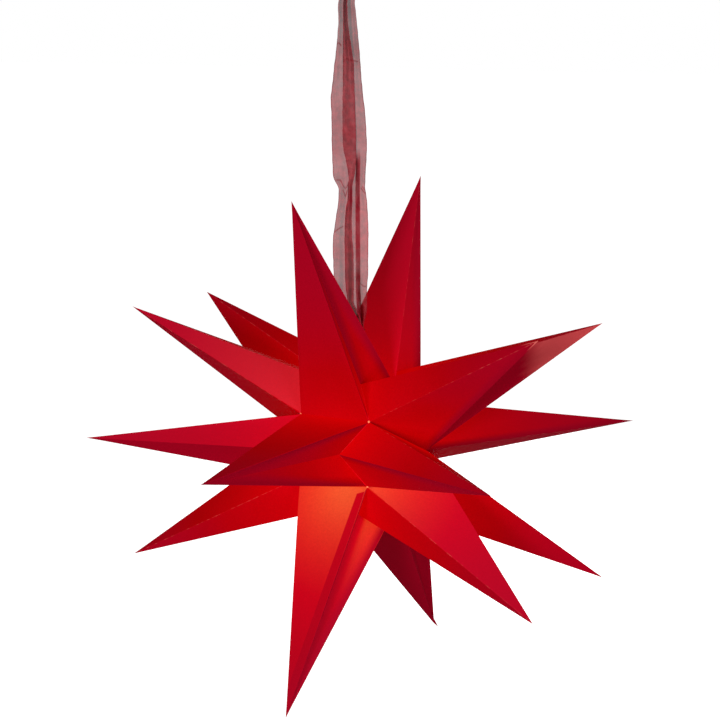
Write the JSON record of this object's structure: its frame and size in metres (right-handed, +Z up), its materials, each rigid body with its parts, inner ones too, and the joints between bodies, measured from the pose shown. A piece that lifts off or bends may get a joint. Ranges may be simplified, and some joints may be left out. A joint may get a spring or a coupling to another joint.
{
  "type": "paper advent star",
  "caption": "Hanging advent star of hollow folded card spikes round a level axis, drawn together and hung by a knotted organza ribbon with a loop.",
  "frame": {"origin": "the point inside the top of the hanging loop that rests on the hook; the star's centre lies 573 mm below it", "axes": "+Z up along the hanging line; X along the star's level axis, from pole to pole; -Y towards the front spikes, the side that the picture shows"},
  "size_m": [0.4915, 0.5971, 0.8283],
  "materials": {
    "card": "matte dyed card with a faint fibre mottle and pale cut edges",
    "ribbon": "sheer organza with woven edges"
  },
  "bodies": {
    "root": {"cover_leaf_front": "card", "leaf_02": "card", "leaf_03": "card", "leaf_04": "card", "leaf_05": "card", "leaf_06": "card", "leaf_07": "card", "leaf_08": "card", "leaf_09": "card", "leaf_10": "card", "leaf_11": "card", "cover_leaf_back": "card", "ribbon": "ribbon"}
  },
  "joints": []
}
